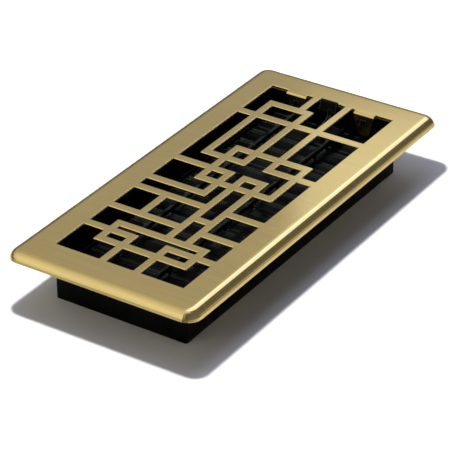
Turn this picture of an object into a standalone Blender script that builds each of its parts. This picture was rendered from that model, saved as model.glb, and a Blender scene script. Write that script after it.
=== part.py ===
"""A floor register: a stamped brass-finished grille over a black plastic louvre damper.

The face drops into a floor opening and rests on its turned-down rim. Two folded tabs at the lever
end of the face snap over barbs in the damper box. Fifteen louvre blades turn on end journals in the box. Two link bars
join them, and the thumb lever on one bar moves them all. X runs across the short side, Y along
the long side with the thumb lever at +Y, and Z up from the underside of the box.
"""

import math

import bmesh
import bpy
from mathutils import Matrix, Vector

MM = 0.001
GAP = 0.3 * MM  # clearance between pieces that meet
WELD = 0.005 * MM  # corners this close together are one
SIDES = (("left", -1), ("right", 1))

# Overall
FACE_Z = 39.0 * MM  # top of the face above the underside of the box

# Faceplate
PLATE_WIDTH = 139.7 * MM
PLATE_LENGTH = 292.1 * MM
PLATE_SHEET = 1.2 * MM
RIM_DROP = 6.0 * MM
RIM_BEND_RADIUS = 8.6 * MM
RIM_BEND_ANGLE = math.radians(70)
RIM_BEND_STEPS = 8
PLATE_CORNER = 10.0 * MM
PLATE_CORNER_STEPS = 8

# Fretwork: one field of openings divided by straight bars
FIELD_HALF_X = 46.7 * MM
FIELD_HALF_Y = 122.1 * MM
UPRIGHT_WIDTH = 5.5 * MM  # bars that run along Y
CROSS_WIDTH = 6.1 * MM  # bars that run along X
PAST_FIELD = 3.0 * MM  # how far a bar's cutter runs on into the border
PUNCH_CORNER = 0.6 * MM  # the openings' corners, seen from above
PUNCH_CORNER_STEPS = 2
PUNCH_ROLL = 0.4 * MM  # the openings' top edges are rolled over by the punch
PUNCH_ROLL_STEPS = 2
PUNCH_OVERLAP = 0.05 * MM  # the rolled edge runs this far past the straight wall below it

# Centre lines of the upright bars, left to right
X_OUTER_LEFT = -34.1 * MM
X_BASE_LEFT = -29.1 * MM
X_STUB = -24.25 * MM
X_MIDDLE_LEFT = -19.25 * MM
X_END_LEFT = -11.95 * MM
X_SPINE = -5.1 * MM
X_STEM_LEFT = 6.3 * MM
X_END_RIGHT = 13.25 * MM
X_STEM_RIGHT = 20.45 * MM
X_OUTER_RIGHT = 34.15 * MM

# Centre lines of the cross bars, lever end first
Y_TOP_RING = 100.25 * MM
Y_TOP = 81.1 * MM
Y_UPPER = 36.2 * MM
Y_UPPER_SHORT = 21.9 * MM
Y_MIDDLE_LEFT = 6.0 * MM
Y_STEM_TOP = 5.2 * MM
Y_MIDDLE = -7.8 * MM
Y_HOOK = -23.7 * MM
Y_LOWER = -37.4 * MM
Y_RUNG = -52.4 * MM
Y_LOW_BAND = -65.35 * MM
Y_BASE_TOP = -81.4 * MM
Y_BASE_ARM = -90.55 * MM
Y_BASE_BOTTOM = -101.9 * MM

LEFT = -FIELD_HALF_X - PAST_FIELD
RIGHT = FIELD_HALF_X + PAST_FIELD
NEAR = -FIELD_HALF_Y - PAST_FIELD
FAR = FIELD_HALF_Y + PAST_FIELD

# x, then the two y ends
UPRIGHT_BARS = [
    (X_END_LEFT, Y_TOP_RING, FAR),
    (X_OUTER_LEFT, Y_UPPER_SHORT, Y_TOP_RING),
    (X_SPINE, Y_UPPER_SHORT, Y_TOP_RING),
    (X_END_RIGHT, Y_UPPER_SHORT, FAR),
    (X_MIDDLE_LEFT, Y_MIDDLE, Y_UPPER),
    (X_OUTER_RIGHT, Y_MIDDLE, Y_UPPER),
    (X_SPINE, Y_HOOK, Y_MIDDLE_LEFT),
    (X_STEM_LEFT, Y_BASE_TOP, Y_STEM_TOP),
    (X_STEM_RIGHT, Y_BASE_TOP, Y_STEM_TOP),
    (X_STUB, Y_LOW_BAND, Y_LOWER),
    (X_BASE_LEFT, Y_BASE_BOTTOM, Y_BASE_TOP),
    (X_OUTER_RIGHT, Y_BASE_BOTTOM, Y_BASE_TOP),
    (X_END_LEFT, NEAR, Y_BASE_ARM),
    (X_END_RIGHT, NEAR, Y_BASE_ARM),
]

# y, then the two x ends
CROSS_BARS = [
    (Y_TOP, LEFT, RIGHT),
    (Y_TOP_RING, X_OUTER_LEFT, X_SPINE),
    (Y_UPPER, X_MIDDLE_LEFT, X_OUTER_RIGHT),
    (Y_UPPER_SHORT, X_OUTER_LEFT, X_SPINE),
    (Y_UPPER_SHORT, X_END_RIGHT, RIGHT),
    (Y_MIDDLE_LEFT, LEFT, X_SPINE),
    (Y_STEM_TOP, X_STEM_LEFT, X_STEM_RIGHT),
    (Y_MIDDLE, X_MIDDLE_LEFT, X_OUTER_RIGHT),
    (Y_HOOK, LEFT, X_SPINE),
    (Y_LOWER, LEFT, X_STEM_LEFT),
    (Y_LOWER, X_STEM_RIGHT, RIGHT),
    (Y_RUNG, X_STEM_LEFT, X_STEM_RIGHT),
    (Y_LOW_BAND, LEFT, X_STEM_LEFT),
    (Y_LOW_BAND, X_STEM_RIGHT, RIGHT),
    (Y_BASE_TOP, X_BASE_LEFT, X_OUTER_RIGHT),
    (Y_BASE_ARM, LEFT, X_END_LEFT),
    (Y_BASE_ARM, X_END_RIGHT, RIGHT),
    (Y_BASE_BOTTOM, X_BASE_LEFT, X_OUTER_RIGHT),
]

# Tabs folded down from the lever end of the face that snap over barbs inside the box
TAB_X = 26.4 * MM
TAB_TOP_WIDTH = 15.4 * MM
TAB_END_WIDTH = 9.0 * MM
TAB_BACK_Y = 119.8 * MM  # the side of the tab against the box
TAB_BEND_INNER = 0.9 * MM
TAB_BEND_STEPS = 5
TAB_DROP = 16.5 * MM
TAB_ROOT = 3.0 * MM  # how far the tab's root runs back into the face
TAB_SKIN = 0.02 * MM  # the root sits this far inside both surfaces of the face
TAB_HOLE_WIDTH = 5.6 * MM
TAB_HOLE_TOP = 4.2 * MM  # below the top of the face
TAB_HOLE_HEIGHT = 5.7 * MM

# Damper box
BOX_TOP_Z = FACE_Z - PLATE_SHEET - GAP
BOX_HALF = Vector((48.5 * MM, 122.8 * MM))
BOX_WALL = 1.8 * MM
BOX_CORNER = 1.6 * MM
BOX_CORNER_STEPS = 3
BARB_WIDTH = 4.6 * MM
BARB_HEIGHT = 4.6 * MM
BARB_DEPTH = 2.6 * MM
LEDGE_Z = 17.2 * MM
LEDGE_THICK = 1.6 * MM
LEDGE_FACE_Y = 115.0 * MM

# Louvre blades
BLADE_COUNT = 15
BLADE_PITCH = 15.24 * MM
PIVOT_Z = 18.0 * MM
BLADE_HALF_LENGTH = 45.0 * MM
BLADE_HALF_WIDTH = 7.2 * MM
BLADE_CREST = 1.35 * MM  # height of the two crests beside the centre groove
BLADE_CREST_Y = 1.7 * MM
BLADE_GROOVE_Y = 1.25 * MM
BLADE_GROOVE_Z = 0.5 * MM
BLADE_EDGE_TOP = 0.3 * MM
BLADE_EDGE_UNDER = -0.4 * MM
BLADE_BELLY = -1.35 * MM
JOURNAL_RADIUS = 1.5 * MM
JOURNAL_END = 46.3 * MM
ROUND_STEPS = 12

# Bearing rails inside the long walls of the box
RAIL_FACE_X = 45.4 * MM
RAIL_HALF_HEIGHT = 3.2 * MM
RAIL_END_Y = 117.0 * MM
SOCKET_RADIUS = JOURNAL_RADIUS + GAP
SOCKET_END_X = 46.65 * MM

# Cranks on the blades, and the two link bars they carry
CRANK_RADIUS = 8.0 * MM
CRANK_ANGLE = math.radians(45)  # above the blade, with the blades shut
CRANK_Y = CRANK_RADIUS * math.cos(CRANK_ANGLE)
CRANK_Z = CRANK_RADIUS * math.sin(CRANK_ANGLE)
CRANK_PIN_RADIUS = 0.9 * MM
CRANK_PIN_STEPS = 8
CRANK_EAR_THICK = 1.2 * MM
CRANK_EAR_TOP = 1.4 * MM  # above the pin's axis
LINK_X = {"link_bar_left": -26.6 * MM, "link_bar_right": 12.9 * MM}
LINK_HALF_WIDTH = 0.8 * MM
LINK_HALF_HEIGHT = 1.5 * MM
LINK_HOLE_RADIUS = CRANK_PIN_RADIUS + GAP
LINK_OVERRUN = 3.5 * MM
NOTCH_HALF_WIDTH = LINK_HALF_WIDTH + 0.5 * MM
NOTCH_DEPTH = 3.0 * MM

# Thumb lever, clipped to the right-hand link bar
PAD_WIDTH = 12.5 * MM
PAD_CENTRE_X = -0.5 * MM
PAD_THICK = 2.4 * MM
PAD_TOP_Y = 119.7 * MM
PAD_TOP_Z = FACE_Z + 2.3 * MM
PAD_FOOT_Y = 117.6 * MM
PAD_FOOT_Z = FACE_Z - 5.0 * MM
NECK_CENTRE_X = 1.3 * MM
NECK_WIDTH = 2.6 * MM
NECK_THICK = 2.6 * MM
NECK_BEND_RADIUS = 6.0 * MM
NECK_BEND_STEPS = 6
SADDLE_FAR_Y = 111.5 * MM
SADDLE_NEAR_Y = 102.0 * MM
SADDLE_THICK = 1.6 * MM
SADDLE_SIDE = 1.2 * MM


def material(name, colour, roughness, metallic):
    """A plain Principled material."""
    made = bpy.data.materials.new(name)
    made.use_nodes = True
    shader = made.node_tree.nodes["Principled BSDF"]
    shader.inputs["Base Color"].default_value = (*colour, 1.0)
    shader.inputs["Roughness"].default_value = roughness
    shader.inputs["Metallic"].default_value = metallic
    made.diffuse_color = (*colour, 1.0)
    return made


def add_object(name, bm, home, surface=None):
    """Turns a bmesh into an object in the collection `home`."""
    bmesh.ops.recalc_face_normals(bm, faces=bm.faces)
    mesh = bpy.data.meshes.new(name)
    bm.to_mesh(mesh)
    bm.free()
    obj = bpy.data.objects.new(name, mesh)
    home.objects.link(obj)
    if home is cutters:
        obj.hide_render = True
        obj.display_type = "WIRE"
    if surface:
        mesh.materials.append(surface)
    return obj


def add_box(bm, x_range, y_range, z_range):
    """Adds a rectangular block to a bmesh."""
    sizes = [high - low for low, high in (x_range, y_range, z_range)]
    middle = [(high + low) / 2 for low, high in (x_range, y_range, z_range)]
    made = bmesh.ops.create_cube(bm, size=1.0)["verts"]
    bmesh.ops.scale(bm, vec=sizes, verts=made)
    bmesh.ops.translate(bm, vec=middle, verts=made)
    return made


def add_rod(bm, radius, x_range, y, z, steps=ROUND_STEPS):
    """Adds a round rod along X to a bmesh."""
    low, high = x_range
    place = Matrix.Translation(((low + high) / 2, y, z)) @ Matrix.Rotation(math.pi / 2, 4, "Y")
    bmesh.ops.create_cone(
        bm,
        cap_ends=True,
        segments=steps,
        radius1=radius,
        radius2=radius,
        depth=high - low,
        matrix=place,
    )


def add_side_profile(bm, outline, x_range):
    """Adds a block with the (y, z) outline given, extruded along X."""
    corners = [bm.verts.new((x_range[0], y, z)) for y, z in outline]
    face = bm.faces.new(corners)
    pushed = bmesh.ops.extrude_face_region(bm, geom=[face])["geom"]
    moved = [item for item in pushed if isinstance(item, bmesh.types.BMVert)]
    bmesh.ops.translate(bm, vec=(x_range[1] - x_range[0], 0, 0), verts=moved)


def thick_outline(path, thickness):
    """The outline of a strip of even thickness that follows a (y, z) path."""
    sides = [[], []]
    for i, point in enumerate(path):
        before = Vector(path[max(i - 1, 0)])
        after = Vector(path[min(i + 1, len(path) - 1)])
        along = (after - before).normalized()
        across = Vector((-along.y, along.x)) * thickness / 2
        sides[0].append(tuple(Vector(point) + across))
        sides[1].append(tuple(Vector(point) - across))
    return sides[0] + sides[1][::-1]


def bake(obj):
    """Applies an object's modifiers to its mesh."""
    graph = bpy.context.evaluated_depsgraph_get()
    old = obj.data
    new = bpy.data.meshes.new_from_object(obj.evaluated_get(graph))
    obj.modifiers.clear()
    obj.data = new
    new.name = old.name
    bpy.data.meshes.remove(old)


def combine(obj, tools, operation):
    """Joins or cuts an object with others, one at a time, and applies the result."""
    for tool in tools:
        step = obj.modifiers.new(tool.name, "BOOLEAN")
        step.operation = operation
        step.solver = "EXACT"
        step.object = tool
    bake(obj)


def cut_with_all(obj, tool_collection):
    """Cuts an object with every solid of a collection at once."""
    step = obj.modifiers.new("fretwork", "BOOLEAN")
    step.operation = "DIFFERENCE"
    step.solver = "EXACT"
    step.operand_type = "COLLECTION"
    step.collection = tool_collection
    bake(obj)


def smooth(obj, degrees=35):
    """Shades curved faces smooth and leaves real edges sharp."""
    for polygon in obj.data.polygons:
        polygon.use_smooth = True
    obj.data.set_sharp_from_angle(angle=math.radians(degrees))


def rounded_rectangle(bm, half_x, half_y, corner, steps, z):
    """Adds one flat face with rounded corners."""
    grid = bmesh.ops.create_grid(bm, x_segments=1, y_segments=1, size=1.0)["verts"]
    bmesh.ops.scale(bm, vec=(half_x, half_y, 1.0), verts=grid)
    bmesh.ops.translate(bm, vec=(0, 0, z), verts=grid)
    bmesh.ops.bevel(
        bm,
        geom=grid,
        offset=corner,
        segments=steps,
        profile=0.5,
        affect="VERTICES",
        clamp_overlap=False,
    )


def make_openings(name, margin, z_range):
    """The openings of the grille as one tool, each wider all round by `margin`."""
    bars = bpy.data.collections.new(f"{name}_bars")
    cutters.children.link(bars)
    tall = (z_range[0] - PLATE_SHEET, z_range[1] + PLATE_SHEET)
    for number, (x, near_end, far_end) in enumerate(UPRIGHT_BARS, 1):
        bm = bmesh.new()
        half = UPRIGHT_WIDTH / 2 - margin
        add_box(bm, (x - half, x + half), (near_end, far_end), tall)
        bars.objects.link(add_object(f"{name}_upright_{number:02d}", bm, cutters))
    for number, (y, left_end, right_end) in enumerate(CROSS_BARS, 1):
        bm = bmesh.new()
        half = CROSS_WIDTH / 2 - margin
        reach = UPRIGHT_WIDTH / 2 - margin
        add_box(bm, (left_end - reach, right_end + reach), (y - half, y + half), tall)
        bars.objects.link(add_object(f"{name}_cross_{number:02d}", bm, cutters))
    bm = bmesh.new()
    half_x = FIELD_HALF_X + margin
    half_y = FIELD_HALF_Y + margin
    add_box(bm, (-half_x, half_x), (-half_y, half_y), z_range)
    field = add_object(name, bm, cutters)
    cut_with_all(field, bars)
    return field


def round_edges(obj, wanted, offset, steps):
    """Rounds the edges of an object that the test `wanted` picks."""
    bm = bmesh.new()
    bm.from_mesh(obj.data)
    bmesh.ops.remove_doubles(bm, verts=bm.verts, dist=WELD)
    bmesh.ops.dissolve_limit(bm, angle_limit=math.radians(1), verts=bm.verts, edges=bm.edges)
    picked = [edge for edge in bm.edges if wanted(edge)]
    bmesh.ops.bevel(
        bm,
        geom=picked,
        offset=offset,
        segments=steps,
        profile=0.5,
        affect="EDGES",
        clamp_overlap=False,
    )
    bm.to_mesh(obj.data)
    bm.free()


def make_fretwork_cutters():
    """Two tools: one for the openings' walls, and a shallow one for their rolled top edges."""
    roll_floor = FACE_Z - PUNCH_ROLL
    above = FACE_Z + 4 * PLATE_SHEET
    walls = make_openings("openings", 0, (FACE_Z - 4 * PLATE_SHEET, above))
    rolls = make_openings("rolled_edges", PUNCH_ROLL, (roll_floor, above))

    def upright(edge):
        low, high = (corner.co for corner in edge.verts)
        return abs(high.z - low.z) > PUNCH_ROLL and (high.xy - low.xy).length < PUNCH_OVERLAP

    def at_bottom(edge):
        return all(abs(corner.co.z - roll_floor) < PUNCH_OVERLAP for corner in edge.verts)

    for tool in (walls, rolls):
        round_edges(tool, upright, PUNCH_CORNER, PUNCH_CORNER_STEPS)
    round_edges(rolls, at_bottom, PUNCH_ROLL + PUNCH_OVERLAP, PUNCH_ROLL_STEPS)
    return [walls, rolls]


def make_plate_shell():
    """The face and its turned-down rim as sheet metal."""
    bm = bmesh.new()
    straight = RIM_DROP - RIM_BEND_RADIUS * (1 - math.cos(RIM_BEND_ANGLE))
    profile = [(straight / math.tan(RIM_BEND_ANGLE), straight)]
    angles = [RIM_BEND_ANGLE * (1 - i / RIM_BEND_STEPS) for i in range(RIM_BEND_STEPS + 1)]
    for steep, shallow in zip(angles, angles[1:]):
        inward = RIM_BEND_RADIUS * (math.sin(steep) - math.sin(shallow))
        upward = RIM_BEND_RADIUS * (math.cos(shallow) - math.cos(steep))
        profile.append((inward, upward))
    rounded_rectangle(
        bm, PLATE_WIDTH / 2, PLATE_LENGTH / 2, PLATE_CORNER, PLATE_CORNER_STEPS, FACE_Z - RIM_DROP
    )
    face = bm.faces[:]
    for inward, upward in profile:
        bmesh.ops.inset_region(
            bm,
            faces=face,
            thickness=inward,
            depth=upward,
            use_boundary=True,
            use_even_offset=True,
        )
    plate = add_object("faceplate", bm, register, brass)
    shell = plate.modifiers.new("sheet", "SOLIDIFY")
    shell.thickness = PLATE_SHEET
    shell.offset = -1
    shell.use_even_offset = True
    bake(plate)
    return plate


def make_tab(name, side):
    """One folded tab, with the hole its barb sits in."""
    bend_y = TAB_BACK_Y + TAB_BEND_INNER
    sheet_top = FACE_Z - TAB_SKIN
    sheet_under = FACE_Z - PLATE_SHEET + TAB_SKIN
    half = TAB_TOP_WIDTH / 2
    bm = bmesh.new()
    start = add_box(bm, (-half, half), (bend_y, bend_y + TAB_ROOT), (sheet_under, sheet_top))
    end = [f for f in bm.faces if f.calc_center_median().y < bend_y + TAB_SKIN]
    hinge = Vector((0, bend_y, FACE_Z - PLATE_SHEET - TAB_BEND_INNER))
    for _ in range(TAB_BEND_STEPS):
        pushed = bmesh.ops.extrude_face_region(bm, geom=end)["geom"]
        corners = [item for item in pushed if isinstance(item, bmesh.types.BMVert)]
        bmesh.ops.delete(bm, geom=end, context="FACES_ONLY")
        end = [item for item in pushed if isinstance(item, bmesh.types.BMFace)]
        turn = Matrix.Rotation(math.pi / 2 / TAB_BEND_STEPS, 4, "X")
        bmesh.ops.rotate(bm, verts=corners, cent=hinge, matrix=turn)
    straight = TAB_DROP - PLATE_SHEET - TAB_BEND_INNER
    widths = [TAB_TOP_WIDTH, TAB_END_WIDTH, TAB_END_WIDTH / 2]
    drops = [straight * 0.88, straight * 0.12]
    for wide, narrow, drop in zip(widths, widths[1:], drops):
        pushed = bmesh.ops.extrude_face_region(bm, geom=end)["geom"]
        corners = [item for item in pushed if isinstance(item, bmesh.types.BMVert)]
        bmesh.ops.delete(bm, geom=end, context="FACES_ONLY")
        end = [item for item in pushed if isinstance(item, bmesh.types.BMFace)]
        bmesh.ops.translate(bm, vec=(0, 0, -drop), verts=corners)
        bmesh.ops.scale(bm, vec=(narrow / wide, 1, 1), verts=corners)
    bmesh.ops.translate(bm, vec=(side * TAB_X, 0, 0), verts=bm.verts)
    return add_object(name, bm, cutters)


def make_tab_hole(name, side):
    bm = bmesh.new()
    half = TAB_HOLE_WIDTH / 2
    top = FACE_Z - TAB_HOLE_TOP
    depth = (TAB_BACK_Y - 3 * PLATE_SHEET, TAB_BACK_Y + PLATE_SHEET)
    middle = side * TAB_X
    add_box(bm, (middle - half, middle + half), depth, (top - TAB_HOLE_HEIGHT, top))
    return add_object(name, bm, cutters)


def make_faceplate():
    plate = make_plate_shell()
    combine(plate, make_fretwork_cutters(), "DIFFERENCE")
    combine(plate, [make_tab(f"tab_{word}", side) for word, side in SIDES], "UNION")
    combine(plate, [make_tab_hole(f"tab_hole_{word}", side) for word, side in SIDES], "DIFFERENCE")
    smooth(plate)
    return plate


def rounded_block(name, half, corner, z_range, home, surface=None):
    """A block with rounded upright corners."""
    bm = bmesh.new()
    rounded_rectangle(bm, half.x, half.y, corner, BOX_CORNER_STEPS, z_range[0])
    pushed = bmesh.ops.extrude_face_region(bm, geom=bm.faces[:])["geom"]
    corners = [item for item in pushed if isinstance(item, bmesh.types.BMVert)]
    bmesh.ops.translate(bm, vec=(0, 0, z_range[1] - z_range[0]), verts=corners)
    return add_object(name, bm, home, surface)


def make_box():
    """The damper box: four walls, bearing rails, end ledges and barbs for the tabs."""
    wall = Vector((BOX_WALL, BOX_WALL))
    box = rounded_block("damper_box", BOX_HALF, BOX_CORNER, (0, BOX_TOP_Z), register, plastic)
    through = (-BOX_WALL, BOX_TOP_Z + BOX_WALL)
    hollow = rounded_block("box_hollow", BOX_HALF - wall, BOX_CORNER / 2, through, cutters)
    combine(box, [hollow], "DIFFERENCE")
    additions = []
    wall_middle = BOX_HALF - wall / 2
    for word, side in SIDES:
        bm = bmesh.new()
        across = sorted((side * RAIL_FACE_X, side * wall_middle.x))
        along = (-RAIL_END_Y, RAIL_END_Y)
        add_box(bm, across, along, (PIVOT_Z - RAIL_HALF_HEIGHT, PIVOT_Z + RAIL_HALF_HEIGHT))
        additions.append(add_object(f"rail_{word}", bm, cutters))
    for side, word in ((-1, "near"), (1, "far")):
        bm = bmesh.new()
        along = sorted((side * LEDGE_FACE_Y, side * wall_middle.y))
        across = (-RAIL_FACE_X - BOX_WALL / 2, RAIL_FACE_X + BOX_WALL / 2)
        add_box(bm, across, along, (LEDGE_Z, LEDGE_Z + LEDGE_THICK))
        additions.append(add_object(f"ledge_{word}", bm, cutters))
    barb_top = FACE_Z - TAB_HOLE_TOP - (TAB_HOLE_HEIGHT - BARB_HEIGHT) / 2
    root_y = wall_middle.y
    tip_y = TAB_BACK_Y - BARB_DEPTH + PLATE_SHEET / 2
    for word, side in SIDES:
        bm = bmesh.new()
        outline = [
            (root_y, barb_top),
            (TAB_BACK_Y - PLATE_SHEET, barb_top),
            (tip_y, barb_top - BARB_HEIGHT),
            (root_y, barb_top - BARB_HEIGHT),
        ]
        middle = side * TAB_X
        add_side_profile(bm, outline, (middle - BARB_WIDTH / 2, middle + BARB_WIDTH / 2))
        additions.append(add_object(f"barb_{word}", bm, cutters))
    combine(box, additions, "UNION")
    sockets = bpy.data.collections.new("journal_sockets")
    cutters.children.link(sockets)
    for number in range(BLADE_COUNT):
        bm = bmesh.new()
        add_rod(bm, SOCKET_RADIUS, (-SOCKET_END_X, SOCKET_END_X), blade_y(number), PIVOT_Z)
        sockets.objects.link(add_object(f"socket_{number + 1:02d}", bm, cutters))
    cut_with_all(box, sockets)
    smooth(box)
    return box


def blade_y(number):
    """Where a blade's axis stands along the box."""
    return (number - (BLADE_COUNT - 1) / 2) * BLADE_PITCH


def make_blade_mesh():
    """One blade about its own axis: vane, end journals, and an ear and pin for each link bar."""
    bm = bmesh.new()
    outline = [
        (BLADE_HALF_WIDTH, BLADE_EDGE_TOP),
        (BLADE_CREST_Y, BLADE_CREST),
        (BLADE_GROOVE_Y, BLADE_GROOVE_Z),
        (-BLADE_GROOVE_Y, BLADE_GROOVE_Z),
        (-BLADE_CREST_Y, BLADE_CREST),
        (-BLADE_HALF_WIDTH, BLADE_EDGE_TOP),
        (-BLADE_HALF_WIDTH, BLADE_EDGE_UNDER),
        (0, BLADE_BELLY),
        (BLADE_HALF_WIDTH, BLADE_EDGE_UNDER),
    ]
    add_side_profile(bm, outline, (-BLADE_HALF_LENGTH, BLADE_HALF_LENGTH))
    blade = add_object("blade_master", bm, cutters)
    additions = []
    for word, side in SIDES:
        bm = bmesh.new()
        inside = BLADE_HALF_LENGTH - 3 * MM
        add_rod(bm, JOURNAL_RADIUS, sorted((side * inside, side * JOURNAL_END)), 0, 0)
        additions.append(add_object(f"journal_{word}", bm, cutters))
    notches = []
    for word, x in LINK_X.items():
        ear_end = x - LINK_HALF_WIDTH - GAP
        bm = bmesh.new()
        foot = BLADE_CREST_Y
        ear = [
            (foot, 0),
            (BLADE_HALF_WIDTH - 0.6 * MM, 0),
            (CRANK_Y + CRANK_EAR_TOP, CRANK_Z),
            (CRANK_Y + CRANK_EAR_TOP * 0.6, CRANK_Z + CRANK_EAR_TOP),
            (CRANK_Y - CRANK_EAR_TOP * 0.6, CRANK_Z + CRANK_EAR_TOP),
            (CRANK_Y - CRANK_EAR_TOP, CRANK_Z),
        ]
        add_side_profile(bm, ear, (ear_end - CRANK_EAR_THICK, ear_end))
        additions.append(add_object(f"ear_{word}", bm, cutters))
        bm = bmesh.new()
        pin = (ear_end - CRANK_EAR_THICK / 2, x + LINK_HALF_WIDTH + GAP)
        add_rod(bm, CRANK_PIN_RADIUS, pin, CRANK_Y, CRANK_Z, CRANK_PIN_STEPS)
        additions.append(add_object(f"pin_{word}", bm, cutters))
        bm = bmesh.new()
        notch = (BLADE_HALF_WIDTH - NOTCH_DEPTH, BLADE_HALF_WIDTH + NOTCH_DEPTH)
        depth = (-CRANK_RADIUS / 2, CRANK_RADIUS / 4)
        add_box(bm, (x - NOTCH_HALF_WIDTH, x + NOTCH_HALF_WIDTH), notch, depth)
        notches.append(add_object(f"notch_{word}", bm, cutters))
    combine(blade, notches, "DIFFERENCE")
    combine(blade, additions, "UNION")
    smooth(blade)
    blade.data.materials.clear()
    blade.data.materials.append(plastic)
    return blade.data


def make_blades():
    mesh = make_blade_mesh()
    for number in range(BLADE_COUNT):
        blade = bpy.data.objects.new(f"blade_{number + 1:02d}", mesh)
        blade.location = (0, blade_y(number), PIVOT_Z)
        register.objects.link(blade)


def make_link_bar(name, x):
    """A straight bar with a hole for every crank pin; its origin is on the first pin."""
    first = blade_y(0) + CRANK_Y
    reach = blade_y(BLADE_COUNT - 1) - blade_y(0)
    bm = bmesh.new()
    add_box(
        bm,
        (-LINK_HALF_WIDTH, LINK_HALF_WIDTH),
        (-LINK_OVERRUN, reach + LINK_OVERRUN),
        (-LINK_HALF_HEIGHT, LINK_HALF_HEIGHT),
    )
    bar = add_object(name, bm, register, plastic)
    holes = bpy.data.collections.new(f"{name}_holes")
    cutters.children.link(holes)
    for number in range(BLADE_COUNT):
        bm = bmesh.new()
        through = (-2 * LINK_HALF_WIDTH, 2 * LINK_HALF_WIDTH)
        y = number * BLADE_PITCH
        add_rod(bm, LINK_HOLE_RADIUS, through, y, 0, CRANK_PIN_STEPS)
        hole = add_object(f"{name}_hole_{number + 1:02d}", bm, cutters)
        holes.objects.link(hole)
    cut_with_all(bar, holes)
    smooth(bar)
    bar.location = (x, first, PIVOT_Z + CRANK_Z)


def make_thumb_lever():
    """The finger pad, its curved neck, and a saddle that clips over the link bar."""
    link_x = LINK_X["link_bar_right"]
    link_top = PIVOT_Z + CRANK_Z + LINK_HALF_HEIGHT
    saddle_top = link_top + GAP + SADDLE_THICK
    bm = bmesh.new()
    lean = Vector((PAD_FOOT_Y - PAD_TOP_Y, PAD_FOOT_Z - PAD_TOP_Z)).normalized()
    across = Vector((-lean.y, lean.x)) * PAD_THICK / 2
    top = Vector((PAD_TOP_Y, PAD_TOP_Z))
    foot = Vector((PAD_FOOT_Y, PAD_FOOT_Z))
    cap = [
        top + lean * PAD_THICK / 2 + across * math.cos(a) - lean * PAD_THICK / 2 * math.sin(a)
        for a in (math.pi * i / 6 for i in range(7))
    ]
    outline = [tuple(point) for point in (*cap, foot - across, foot + across)]
    pad_x = (PAD_CENTRE_X - PAD_WIDTH / 2, PAD_CENTRE_X + PAD_WIDTH / 2)
    add_side_profile(bm, outline, pad_x)
    lever = add_object("thumb_lever", bm, register, plastic)
    inner = foot - lean * 2 * MM
    centre = Vector((foot.x - NECK_BEND_RADIUS, foot.y))
    arc = [
        (centre.x + NECK_BEND_RADIUS * math.cos(a), centre.y - NECK_BEND_RADIUS * math.sin(a))
        for a in (math.pi / 2 * i / NECK_BEND_STEPS for i in range(NECK_BEND_STEPS + 1))
    ]
    landing = (SADDLE_NEAR_Y + 3 * MM, saddle_top - SADDLE_THICK / 2)
    path = [tuple(inner), *arc, landing]
    half = NECK_WIDTH / 2
    bm = bmesh.new()
    neck_x = (NECK_CENTRE_X - half, NECK_CENTRE_X + half)
    add_side_profile(bm, thick_outline(path, NECK_THICK), neck_x)
    neck = add_object("lever_neck", bm, cutters)
    bm = bmesh.new()
    outer = link_x + LINK_HALF_WIDTH + GAP + SADDLE_SIDE
    along = (SADDLE_NEAR_Y, SADDLE_FAR_Y)
    add_box(bm, (NECK_CENTRE_X - half, outer), along, (saddle_top - SADDLE_THICK, saddle_top))
    saddle = add_object("lever_saddle", bm, cutters)
    cheeks = []
    for word, side in SIDES:
        bm = bmesh.new()
        inside = link_x + side * (LINK_HALF_WIDTH + GAP)
        across_x = sorted((inside, inside + side * SADDLE_SIDE))
        middle = (SADDLE_NEAR_Y + SADDLE_FAR_Y) / 2
        reach = (middle - 1.6 * MM, middle + 1.6 * MM)
        add_box(bm, across_x, reach, (link_top - LINK_HALF_HEIGHT, saddle_top - SADDLE_THICK / 2))
        cheeks.append(add_object(f"lever_cheek_{word}", bm, cutters))
    combine(lever, [neck, saddle, *cheeks], "UNION")
    smooth(lever)
    return lever


for old in list(bpy.data.objects):
    bpy.data.objects.remove(old)

register = bpy.data.collections.new("floor_register")
cutters = bpy.data.collections.new("cutters")
cutters.hide_render = True
bpy.context.scene.collection.children.link(register)
bpy.context.scene.collection.children.link(cutters)

brass = material("brushed_brass", (0.60, 0.46, 0.22), 0.32, 1.0)
plastic = material("black_plastic", (0.014, 0.014, 0.016), 0.5, 0.0)

make_faceplate()
make_box()
make_blades()
for bar_name, bar_x in LINK_X.items():
    make_link_bar(bar_name, bar_x)
make_thumb_lever()
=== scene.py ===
"""Brass floor register over a black damper box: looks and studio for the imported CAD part."""

import math

import bpy
from mathutils import Matrix, Vector


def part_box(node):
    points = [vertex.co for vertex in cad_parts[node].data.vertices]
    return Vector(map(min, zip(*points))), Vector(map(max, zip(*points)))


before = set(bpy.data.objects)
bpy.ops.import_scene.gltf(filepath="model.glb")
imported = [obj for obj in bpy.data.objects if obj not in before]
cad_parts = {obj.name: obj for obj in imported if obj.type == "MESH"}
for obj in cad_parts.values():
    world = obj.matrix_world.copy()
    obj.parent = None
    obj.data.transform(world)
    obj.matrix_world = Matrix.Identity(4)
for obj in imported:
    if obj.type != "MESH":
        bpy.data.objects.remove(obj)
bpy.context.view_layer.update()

# Places read from the part, in metres
FACE_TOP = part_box("faceplate")[1].z
FIELD_HALF_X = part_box("damper_box")[1].x + 0.0002
FIELD_HALF_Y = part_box("damper_box")[1].y + 0.0008
ROLL_DEPTH = 0.0008  # how far below the face the punch's rounding is still seen

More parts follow.
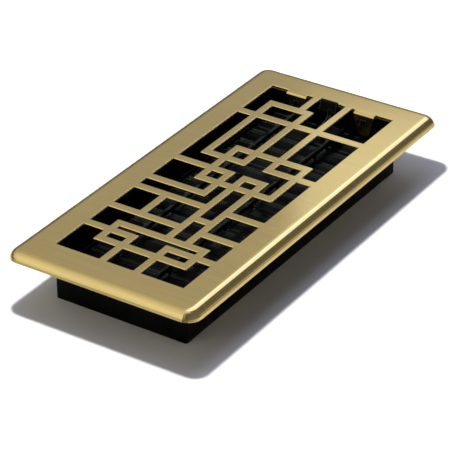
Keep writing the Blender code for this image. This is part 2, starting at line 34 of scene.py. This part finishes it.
# Brass, at its darkest and palest
BRASS_DARK = (0.50, 0.37, 0.118, 1.0)
BRASS_PALE = (0.75, 0.575, 0.215, 1.0)
ALONG_GROOVES = (0.02, 1.0, 0.02)  # draws noise out along X, and down the rim
ALONG_STREAKS = (0.04, 1.0, 0.04)
GROOVE_DIRECTION = (1.0, 0.0, 0.0)
TANGENT_NUDGE = (0.0, 0.002, 0.01)  # keeps the tangent from vanishing where a face looks along X
PUNCH_ROLL = 0.0007

# Plastic
PLASTIC_DARK = (0.0006, 0.0007, 0.0006, 1.0)
PLASTIC_PALE = (0.0012, 0.0014, 0.0013, 1.0)
DUST = (0.018, 0.018, 0.016, 1.0)
# Paler colour painted along sharp edges: a painted highlight in place of the overhead lamp's glints
# on the crests.
PAINTED_EDGE_HIGHLIGHT = (0.030, 0.037, 0.032, 1.0)
EDGE_HIGHLIGHT_RADIUS = 0.0010
MOULD_RADIUS = 0.0004

# Studio
FLOOR_HALF = 3.0
FLOOR_DROP = 0.0002
PAPER = (0.55, 0.55, 0.555, 1.0)
SKY_TINT = (1.0, 0.99, 0.99, 1.0)
STRIP_TINT = (0.87, 0.95, 1.32, 1.0)
OVERHEAD_PLACE = (-0.150, 0.015, 0.92)
OVERHEAD_POWER = 20.0
OVERHEAD_DIAMETER = 0.11
SOFTBOX_PLACE = (-0.082, 0.330, 0.247)
SOFTBOX_TARGET = (0.095, 0.012, 0.039)
SOFTBOX_POWER = 0.038
SOFTBOX_WIDTH = 0.13
SOFTBOX_HEIGHT = 0.15
SOFTBOX_COLOUR = (0.97, 1.0, 1.0)

# Camera
CAMERA_AZIMUTH = math.radians(34.065)
CAMERA_ELEVATION = math.radians(30.9502)
CAMERA_ROLL = math.radians(-0.9004)
CAMERA_PLACE = Vector((0.7331598, -1.0925199, 0.7940754))
SENSOR_WIDTH = 36.0
LENS = 191.6867


# ---------------------------------------------------------------- node helpers


class Graph:
    """Adds nodes to a material and links them."""

    def __init__(self, name):
        self.material = bpy.data.materials.new(name)
        self.material.use_nodes = True
        self.tree = self.material.node_tree
        self.shader = self.tree.nodes["Principled BSDF"]

    def link(self, source, target):
        self.tree.links.new(source, target)

    def feed(self, what, socket):
        """Gives a socket a constant or another node's output."""
        if hasattr(what, "is_output"):
            self.link(what, socket)
        else:
            socket.default_value = what

    def math(self, operation, a, b=0.0, clamp=False):
        made = self.tree.nodes.new("ShaderNodeMath")
        made.operation = operation
        made.use_clamp = clamp
        self.feed(a, made.inputs[0])
        self.feed(b, made.inputs[1])
        return made.outputs[0]

    def product(self, *terms):
        total = terms[0]
        for term in terms[1:]:
            total = self.math("MULTIPLY", total, term)
        return total

    def add(self, *terms):
        total = terms[0]
        for term in terms[1:]:
            total = self.math("ADD", total, term)
        return total

    def ramp(self, factor, low, high, start=0.0, end=1.0):
        """A number that goes smoothly from start to end as factor goes from low to high."""
        made = self.tree.nodes.new("ShaderNodeMapRange")
        made.interpolation_type = "SMOOTHSTEP"
        self.feed(factor, made.inputs["Value"])
        made.inputs["From Min"].default_value = low
        made.inputs["From Max"].default_value = high
        made.inputs["To Min"].default_value = start
        made.inputs["To Max"].default_value = end
        return made.outputs["Result"]

    def mix(self, factor, first, second):
        """A colour between two others."""
        made = self.tree.nodes.new("ShaderNodeMix")
        made.data_type = "RGBA"
        self.feed(factor, made.inputs["Factor"])
        self.feed(first, made.inputs["A"])
        self.feed(second, made.inputs["B"])
        return made.outputs["Result"]

    def vector(self, operation, a, b):
        made = self.tree.nodes.new("ShaderNodeVectorMath")
        made.operation = operation
        self.feed(a, made.inputs[0])
        self.feed(b, made.inputs[1])
        return made

    def noise(self, scale, stretch=(1.0, 1.0, 1.0), detail=3.0, roughness=0.5):
        """Noise over the object's own coordinates, in metres; a small stretch draws it out."""
        place = self.tree.nodes.new("ShaderNodeTexCoord")
        mapping = self.tree.nodes.new("ShaderNodeMapping")
        mapping.inputs["Scale"].default_value = stretch
        self.link(place.outputs["Object"], mapping.inputs["Vector"])
        made = self.tree.nodes.new("ShaderNodeTexNoise")
        made.inputs["Scale"].default_value = scale
        made.inputs["Detail"].default_value = detail
        made.inputs["Roughness"].default_value = roughness
        self.link(mapping.outputs["Vector"], made.inputs["Vector"])
        return made.outputs["Fac"]

    def axis(self, name):
        """One of the object's own coordinates, in metres."""
        place = self.tree.nodes.new("ShaderNodeTexCoord")
        split = self.tree.nodes.new("ShaderNodeSeparateXYZ")
        self.link(place.outputs["Object"], split.inputs[0])
        return split.outputs[name]

    def true_normal(self):
        return self.tree.nodes.new("ShaderNodeNewGeometry").outputs["Normal"]

    def rounded(self, radius, samples=6):
        """The normal as if every edge had this radius."""
        made = self.tree.nodes.new("ShaderNodeBevel")
        made.samples = samples
        made.inputs["Radius"].default_value = radius
        return made.outputs["Normal"]

    def sharp_edge_mask(self, radius, low, high):
        """1 on sharp edges and 0 elsewhere: the rounded normal against the true one."""
        turned = self.vector("DOT_PRODUCT", self.rounded(radius), self.true_normal())
        return self.ramp(turned.outputs["Value"], high, low)

    def bump(self, height, distance, strength, normal):
        made = self.tree.nodes.new("ShaderNodeBump")
        made.inputs["Distance"].default_value = distance
        made.inputs["Strength"].default_value = strength
        self.link(height, made.inputs["Height"])
        self.link(normal, made.inputs["Normal"])
        return made.outputs["Normal"]

    def rolled_edges(self, radius, half_x, half_y, lowest):
        """The normal with edges rounded by the punch, only round the openings and near the top."""
        inside_x = self.math("LESS_THAN", self.math("ABSOLUTE", self.axis("X")), half_x)
        inside_y = self.math("LESS_THAN", self.math("ABSOLUTE", self.axis("Y")), half_y)
        high = self.math("GREATER_THAN", self.axis("Z"), lowest)
        made = self.tree.nodes.new("ShaderNodeMix")
        made.data_type = "VECTOR"
        self.link(self.product(inside_x, inside_y, high), made.inputs[0])
        self.link(self.true_normal(), made.inputs[4])
        self.link(self.rounded(radius, samples=12), made.inputs[5])
        return made.outputs[1]

    def principled(self, **inputs):
        for key, value in inputs.items():
            self.feed(value, self.shader.inputs[key.replace("_", " ")])
        return self.material


class Sky(Graph):
    """The studio round the object, as light that depends only on the direction it comes from."""

    def __init__(self, name):
        self.world = bpy.data.worlds.new(name)
        self.world.use_nodes = True
        self.tree = self.world.node_tree
        place = self.tree.nodes.new("ShaderNodeTexCoord")
        split = self.tree.nodes.new("ShaderNodeSeparateXYZ")
        self.link(place.outputs["Generated"], split.inputs[0])
        self.x, self.y, self.z = (split.outputs[name] for name in "XYZ")


# ---------------------------------------------------------------- materials


def brushed_brass():
    """Lacquered brass brushed along X."""
    g = Graph("brushed_brass_look")
    fine = g.noise(1100.0, ALONG_GROOVES, 3.0, 0.6)
    broad = g.noise(260.0, ALONG_STREAKS, 2.0, 0.5)
    stain = g.noise(18.0, (0.6, 1.0, 1.0), 3.0, 0.55)
    streaks = g.add(g.ramp(fine, 0.3, 0.7, -0.09, 0.09), g.ramp(broad, 0.3, 0.7, -0.04, 0.04))
    tone = g.math("ADD", streaks, g.ramp(stain, 0.35, 0.65, 0.42, 0.58), clamp=True)
    roughness = g.add(g.ramp(fine, 0.3, 0.7, -0.02, 0.02), g.ramp(stain, 0.3, 0.7, 0.19, 0.23))
    edges = g.rolled_edges(PUNCH_ROLL, FIELD_HALF_X, FIELD_HALF_Y, FACE_TOP - ROLL_DEPTH)
    # The grooves run along X, so highlights spread at right angles to X over the surface.
    across = g.vector("CROSS_PRODUCT", GROOVE_DIRECTION, g.true_normal())
    tangent = g.vector("ADD", across.outputs["Vector"], TANGENT_NUDGE)
    return g.principled(
        Base_Color=g.mix(tone, BRASS_DARK, BRASS_PALE),
        Metallic=1.0,
        Roughness=roughness,
        Normal=g.bump(fine, 0.00001, 0.06, edges),
        Anisotropic=0.45,
        Coat_Weight=0.6,
        Coat_Roughness=0.12,
        Tangent=tangent.outputs["Vector"],
    )


def moulded_plastic():
    """Black plastic with a fine grain, a little dust, and a paler colour painted along sharp edges as
    a painted highlight on the crests.
    """
    g = Graph("moulded_plastic_look")
    grain = g.noise(2600.0, detail=2.0)
    cloud = g.noise(60.0, detail=3.0)
    dust = g.noise(420.0, detail=5.0, roughness=0.7)
    colour = g.mix(g.ramp(cloud, 0.35, 0.65), PLASTIC_DARK, PLASTIC_PALE)
    colour = g.mix(g.ramp(dust, 0.60, 0.75, 0.0, 0.10), colour, DUST)
    # Sharp edges are painted paler: a painted highlight on the blades' crests and rims.
    colour = g.mix(g.sharp_edge_mask(EDGE_HIGHLIGHT_RADIUS, 0.82, 0.985), colour, PAINTED_EDGE_HIGHLIGHT)
    return g.principled(
        Base_Color=colour,
        Metallic=0.0,
        Roughness=g.add(g.ramp(cloud, 0.3, 0.7, 0.30, 0.38), g.ramp(grain, 0.3, 0.7, -0.04, 0.05)),
        Normal=g.bump(grain, 0.00003, 0.3, g.rounded(MOULD_RADIUS)),
        Specular_IOR_Level=0.07,
    )


def floor_paper():
    """Plain pale paper."""
    return Graph("floor_paper").principled(Base_Color=PAPER, Roughness=0.9, Metallic=0.0)


brass = brushed_brass()
plastic = moulded_plastic()
for name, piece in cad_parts.items():
    look = brass if name == "faceplate" else plastic
    piece.data.materials.clear()
    piece.data.materials.append(look)


# ---------------------------------------------------------------- stage


def add_floor():
    corners = [(x * FLOOR_HALF, y * FLOOR_HALF, 0.0) for x, y in ((-1, -1), (1, -1), (1, 1), (-1, 1))]
    mesh = bpy.data.meshes.new("floor")
    mesh.from_pydata(corners, [], [(0, 1, 2, 3)])
    mesh.materials.append(floor_paper())
    made = bpy.data.objects.new("floor", mesh)
    made.location.z = -FLOOR_DROP
    bpy.context.scene.collection.objects.link(made)
    return made


floor = add_floor()


# ---------------------------------------------------------------- light


def make_studio():
    """Dim walls, a bright left side for the face, and a bright strip that the long rim reflects."""
    sky = Sky("studio")
    leftward = sky.ramp(sky.x, 0.0, -0.35)
    walls = sky.ramp(sky.z, 0.10, 0.60, 0.09, 0.12)
    left = sky.product(sky.ramp(sky.x, 0.10, -0.35), sky.ramp(sky.z, 0.22, 0.46, 0.0, 0.43))
    near_left = sky.product(
        sky.ramp(sky.y, 0.35, -0.45), leftward, sky.ramp(sky.z, 0.24, 0.50, 0.05, 0.52)
    )
    near_low = sky.product(sky.ramp(sky.y, -0.50, -0.80, 0.0, 0.45), leftward)
    strip_across = sky.product(sky.ramp(sky.x, -0.36, -0.16), sky.ramp(sky.x, 0.20, 0.02))
    strip_along = sky.product(sky.ramp(sky.y, -0.35, 0.25), sky.ramp(sky.z, 0.40, 0.58, 0.0, 1.9))
    strip = sky.product(strip_across, strip_along)
    right = sky.ramp(sky.x, 0.25, 0.60, 0.0, 0.09)
    low_right = sky.product(sky.ramp(sky.x, 0.35, 0.60), sky.ramp(sky.z, 0.26, 0.12, 0.0, 1.0))
    light = sky.add(walls, left, near_left, near_low, strip, right, low_right)

    # The camera itself sees plain white behind the floor.
    seen = sky.tree.nodes.new("ShaderNodeLightPath").outputs["Is Camera Ray"]
    level = sky.add(sky.product(light, sky.math("SUBTRACT", 1.0, seen)), seen)
    tint = sky.mix(sky.math("MULTIPLY", strip, 0.6, clamp=True), SKY_TINT, STRIP_TINT)
    background = sky.tree.nodes["Background"]
    sky.link(level, background.inputs["Strength"])
    sky.link(tint, background.inputs["Color"])
    return sky.world


def add_area_light(name, place, target, power, **settings):
    data = bpy.data.lights.new(name, "AREA")
    data.energy = power
    for key, value in settings.items():
        setattr(data, key, value)
    made = bpy.data.objects.new(name, data)
    made.location = place
    direction = Vector(target) - Vector(place)
    made.rotation_euler = direction.to_track_quat("-Z", "Y").to_euler()
    bpy.context.scene.collection.objects.link(made)
    return made


bpy.context.scene.world = make_studio()
overhead = add_area_light(
    "overhead", OVERHEAD_PLACE, (0, 0, 0), OVERHEAD_POWER, shape="DISK", size=OVERHEAD_DIAMETER
)
overhead.visible_glossy = False
softbox = add_area_light(
    "softbox",
    SOFTBOX_PLACE,
    SOFTBOX_TARGET,
    SOFTBOX_POWER,
    color=SOFTBOX_COLOUR,
    shape="RECTANGLE",
    size=SOFTBOX_WIDTH,
    size_y=SOFTBOX_HEIGHT,
)
softbox.visible_camera = False


# ---------------------------------------------------------------- camera


def add_camera():
    flat = math.cos(CAMERA_ELEVATION)
    back = Vector((
        math.sin(CAMERA_AZIMUTH) * flat,
        -math.cos(CAMERA_AZIMUTH) * flat,
        math.sin(CAMERA_ELEVATION),
    ))
    sideways = Vector((math.cos(CAMERA_AZIMUTH), math.sin(CAMERA_AZIMUTH), 0.0))
    upward = back.cross(sideways)
    across = math.cos(CAMERA_ROLL) * sideways + math.sin(CAMERA_ROLL) * upward
    above = -math.sin(CAMERA_ROLL) * sideways + math.cos(CAMERA_ROLL) * upward
    data = bpy.data.cameras.new("camera")
    data.sensor_width = SENSOR_WIDTH
    data.lens = LENS
    data.clip_start = 0.01
    data.clip_end = 50.0
    made = bpy.data.objects.new("camera", data)
    axes = Matrix((across, above, back)).transposed().to_4x4()
    made.matrix_world = Matrix.Translation(CAMERA_PLACE) @ axes
    bpy.context.scene.collection.objects.link(made)
    return made


bpy.context.scene.camera = add_camera()
bpy.context.scene.view_settings.view_transform = "Standard"
bpy.context.scene.view_settings.look = "None"
